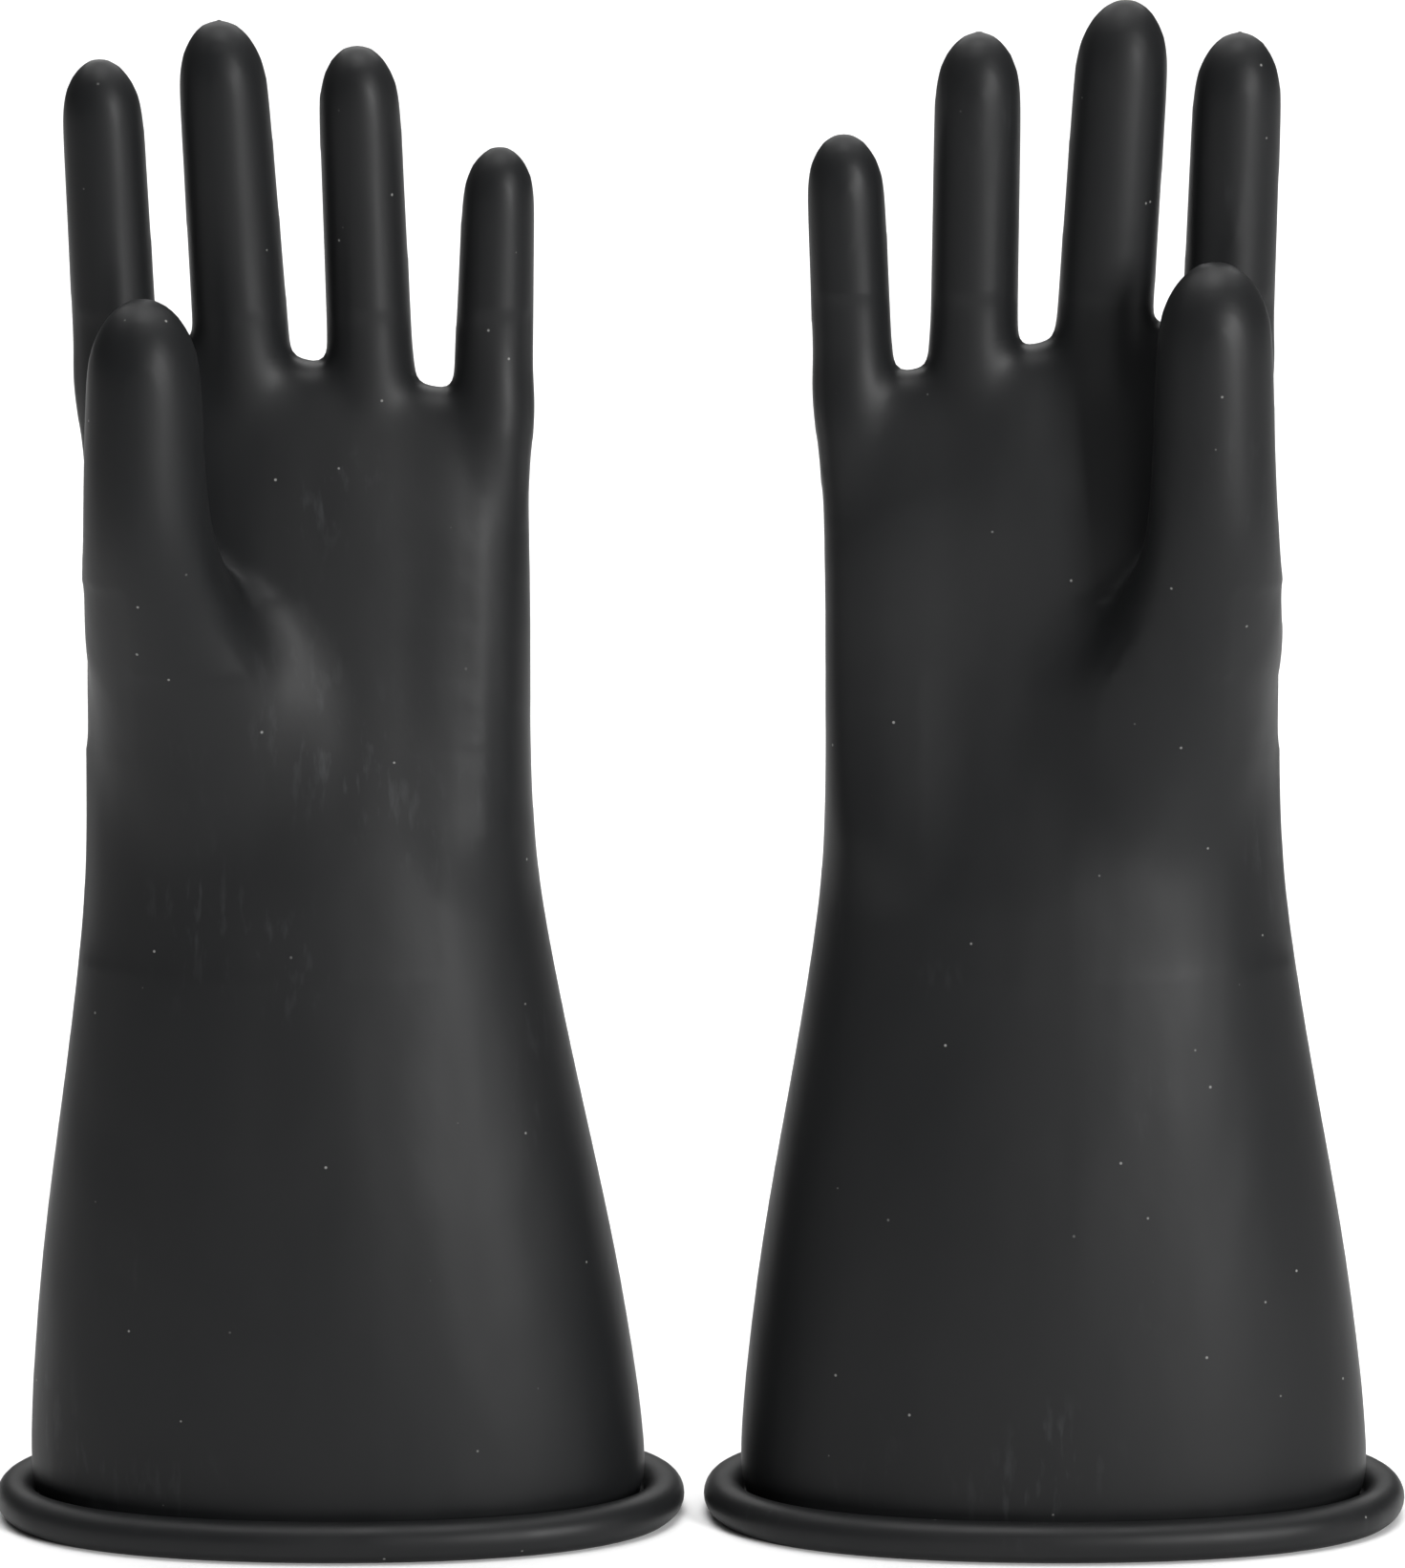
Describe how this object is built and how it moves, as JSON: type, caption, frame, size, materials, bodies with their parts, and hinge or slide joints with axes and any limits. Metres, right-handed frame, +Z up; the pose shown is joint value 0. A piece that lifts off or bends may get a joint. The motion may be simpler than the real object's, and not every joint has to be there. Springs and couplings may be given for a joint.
{
  "type": "electrical insulating gloves",
  "caption": "Pair of long black rubber insulating gloves standing on rolled cuffs, with flared gauntlets, bending wrists and digits.",
  "frame": {"origin": "on the floor, midway between the two cuffs, at the middle of their depth", "axes": "+X to the right as one faces the palms, +Y away from the palms towards the backs of the hands, +Z up from the cuffs to the fingertips"},
  "size_m": [0.3338, 0.0966, 0.36],
  "materials": {
    "glove_skin": "matt black dipped rubber with a soft sheen",
    "rolled_bead": "matt black dipped rubber, rolled"
  },
  "bodies": {
    "left_cuff": {"left_cuff_bead": "rolled_bead", "left_gauntlet": "glove_skin", "left_wrist": "glove_skin"},
    "left_hand": {"left_palm": "glove_skin", "left_thumb_root": "glove_skin", "left_index_root": "glove_skin", "left_middle_root": "glove_skin", "left_ring_root": "glove_skin", "left_little_root": "glove_skin"},
    "left_thumb_base": {"left_thumb_lower": "glove_skin", "left_thumb_knuckle": "glove_skin"},
    "left_thumb_end": {"left_thumb_tip": "glove_skin"},
    "left_index_base": {"left_index_lower": "glove_skin", "left_index_knuckle": "glove_skin"},
    "left_index_end": {"left_index_tip": "glove_skin"},
    "left_middle_base": {"left_middle_lower": "glove_skin", "left_middle_knuckle": "glove_skin"},
    "left_middle_end": {"left_middle_tip": "glove_skin"},
    "left_ring_base": {"left_ring_lower": "glove_skin", "left_ring_knuckle": "glove_skin"},
    "left_ring_end": {"left_ring_tip": "glove_skin"},
    "left_little_base": {"left_little_lower": "glove_skin", "left_little_knuckle": "glove_skin"},
    "left_little_end": {"left_little_tip": "glove_skin"},
    "right_cuff": {"right_cuff_bead": "rolled_bead", "right_gauntlet": "glove_skin", "right_wrist": "glove_skin"},
    "right_hand": {"right_palm": "glove_skin", "right_thumb_root": "glove_skin", "right_index_root": "glove_skin", "right_middle_root": "glove_skin", "right_ring_root": "glove_skin", "right_little_root": "glove_skin"},
    "right_thumb_base": {"right_thumb_lower": "glove_skin", "right_thumb_knuckle": "glove_skin"},
    "right_thumb_end": {"right_thumb_tip": "glove_skin"},
    "right_index_base": {"right_index_lower": "glove_skin", "right_index_knuckle": "glove_skin"},
    "right_index_end": {"right_index_tip": "glove_skin"},
    "right_middle_base": {"right_middle_lower": "glove_skin", "right_middle_knuckle": "glove_skin"},
    "right_middle_end": {"right_middle_tip": "glove_skin"},
    "right_ring_base": {"right_ring_lower": "glove_skin", "right_ring_knuckle": "glove_skin"},
    "right_ring_end": {"right_ring_tip": "glove_skin"},
    "right_little_base": {"right_little_lower": "glove_skin", "right_little_knuckle": "glove_skin"},
    "right_little_end": {"right_little_tip": "glove_skin"}
  },
  "joints": [
    {"name": "left_wrist_bend", "type": "hinge", "parent": "left_cuff", "child": "left_hand", "pos_m": [-0.09134, 0, 0.164], "axis": [1, 0, 0], "range_deg": [-35, 35], "stiffness_Nm_per_rad": 4, "deforming": ["left_wrist"]},
    {"name": "left_thumb_swing", "type": "hinge", "parent": "left_hand", "child": "left_thumb_base", "pos_m": [-0.12684, -0.03452, 0.2427], "axis": [0, -1, 0], "range_deg": [-33, 33], "stiffness_Nm_per_rad": 0.12, "deforming": ["left_thumb_root"]},
    {"name": "left_thumb_tip_bend", "type": "hinge", "parent": "left_thumb_base", "child": "left_thumb_end", "pos_m": [-0.1268, -0.03508, 0.2665], "axis": [0, 1, 0], "range_deg": [0, 35], "stiffness_Nm_per_rad": 0.06, "deforming": ["left_thumb_knuckle"]},
    {"name": "left_index_root_bend", "type": "hinge", "parent": "left_hand", "child": "left_index_base", "pos_m": [-0.13567, -0.00002, 0.2818], "axis": [1, 0, 0], "range_deg": [-15, 40], "stiffness_Nm_per_rad": 0.06, "deforming": ["left_index_root"]},
    {"name": "left_index_knuckle_bend", "type": "hinge", "parent": "left_index_base", "child": "left_index_end", "pos_m": [-0.13705, -0.00075, 0.31115], "axis": [1, 0, 0], "range_deg": [0, 40], "stiffness_Nm_per_rad": 0.03, "deforming": ["left_index_knuckle"]},
    {"name": "left_middle_root_bend", "type": "hinge", "parent": "left_hand", "child": "left_middle_base", "pos_m": [-0.10654, -0.00002, 0.28253], "axis": [1, 0, 0], "range_deg": [-15, 50], "stiffness_Nm_per_rad": 0.06, "deforming": ["left_middle_root"]},
    {"name": "left_middle_knuckle_bend", "type": "hinge", "parent": "left_middle_base", "child": "left_middle_end", "pos_m": [-0.10875, -0.00075, 0.3156], "axis": [1, 0, 0], "range_deg": [0, 50], "stiffness_Nm_per_rad": 0.03, "deforming": ["left_middle_knuckle"]},
    {"name": "left_ring_root_bend", "type": "hinge", "parent": "left_hand", "child": "left_ring_base", "pos_m": [-0.07674, -0.00002, 0.28206], "axis": [1, 0, 0], "range_deg": [-15, 50], "stiffness_Nm_per_rad": 0.06, "deforming": ["left_ring_root"]},
    {"name": "left_ring_knuckle_bend", "type": "hinge", "parent": "left_ring_base", "child": "left_ring_end", "pos_m": [-0.07795, -0.00075, 0.31275], "axis": [1, 0, 0], "range_deg": [0, 50], "stiffness_Nm_per_rad": 0.03, "deforming": ["left_ring_knuckle"]},
    {"name": "left_little_root_bend", "type": "hinge", "parent": "left_hand", "child": "left_little_base", "pos_m": [-0.04774, -0.00001, 0.27829], "axis": [1, 0, 0], "range_deg": [-15, 45], "stiffness_Nm_per_rad": 0.06, "deforming": ["left_little_root"]},
    {"name": "left_little_knuckle_bend", "type": "hinge", "parent": "left_little_base", "child": "left_little_end", "pos_m": [-0.0469, -0.0005, 0.3], "axis": [1, 0, 0], "range_deg": [0, 45], "stiffness_Nm_per_rad": 0.03, "deforming": ["left_little_knuckle"]},
    {"name": "right_glove_slide", "type": "slide", "parent": "left_cuff", "child": "right_cuff", "axis": [1, 0, 0], "range_m": [0, 0.15]},
    {"name": "right_wrist_bend", "type": "hinge", "parent": "right_cuff", "child": "right_hand", "pos_m": [0.08259, 0, 0.164], "axis": [1, 0, 0], "range_deg": [-35, 35], "stiffness_Nm_per_rad": 4, "deforming": ["right_wrist"]},
    {"name": "right_thumb_swing", "type": "hinge", "parent": "right_hand", "child": "right_thumb_base", "pos_m": [0.11745, -0.03454, 0.2434], "axis": [0, 1, 0], "range_deg": [-33, 33], "stiffness_Nm_per_rad": 0.12, "deforming": ["right_thumb_root"]},
    {"name": "right_thumb_tip_bend", "type": "hinge", "parent": "right_thumb_base", "child": "right_thumb_end", "pos_m": [0.117, -0.03515, 0.27075], "axis": [0, -1, 0], "range_deg": [0, 35], "stiffness_Nm_per_rad": 0.06, "deforming": ["right_thumb_knuckle"]},
    {"name": "right_index_root_bend", "type": "hinge", "parent": "right_hand", "child": "right_index_base", "pos_m": [0.12229, -0.00002, 0.28506], "axis": [1, 0, 0], "range_deg": [-15, 40], "stiffness_Nm_per_rad": 0.06, "deforming": ["right_index_root"]},
    {"name": "right_index_knuckle_bend", "type": "hinge", "parent": "right_index_base", "child": "right_index_end", "pos_m": [0.12325, -0.00075, 0.31575], "axis": [1, 0, 0], "range_deg": [0, 40], "stiffness_Nm_per_rad": 0.03, "deforming": ["right_index_knuckle"]},
    {"name": "right_middle_root_bend", "type": "hinge", "parent": "right_hand", "child": "right_middle_base", "pos_m": [0.09372, -0.00002, 0.28568], "axis": [1, 0, 0], "range_deg": [-15, 50], "stiffness_Nm_per_rad": 0.06, "deforming": ["right_middle_root"]},
    {"name": "right_middle_knuckle_bend", "type": "hinge", "parent": "right_middle_base", "child": "right_middle_end", "pos_m": [0.09585, -0.00075, 0.3195], "axis": [1, 0, 0], "range_deg": [0, 50], "stiffness_Nm_per_rad": 0.03, "deforming": ["right_middle_knuckle"]},
    {"name": "right_ring_root_bend", "type": "hinge", "parent": "right_hand", "child": "right_ring_base", "pos_m": [0.06347, -0.00002, 0.28506], "axis": [1, 0, 0], "range_deg": [-15, 50], "stiffness_Nm_per_rad": 0.06, "deforming": ["right_ring_root"]},
    {"name": "right_ring_knuckle_bend", "type": "hinge", "parent": "right_ring_base", "child": "right_ring_end", "pos_m": [0.06385, -0.00075, 0.31575], "axis": [1, 0, 0], "range_deg": [0, 50], "stiffness_Nm_per_rad": 0.03, "deforming": ["right_ring_knuckle"]},
    {"name": "right_little_root_bend", "type": "hinge", "parent": "right_hand", "child": "right_little_base", "pos_m": [0.03509, -0.00001, 0.28129], "axis": [1, 0, 0], "range_deg": [-15, 45], "stiffness_Nm_per_rad": 0.06, "deforming": ["right_little_root"]},
    {"name": "right_little_knuckle_bend", "type": "hinge", "parent": "right_little_base", "child": "right_little_end", "pos_m": [0.034, -0.0005, 0.303], "axis": [1, 0, 0], "range_deg": [0, 45], "stiffness_Nm_per_rad": 0.03, "deforming": ["right_little_knuckle"]}
  ]
}
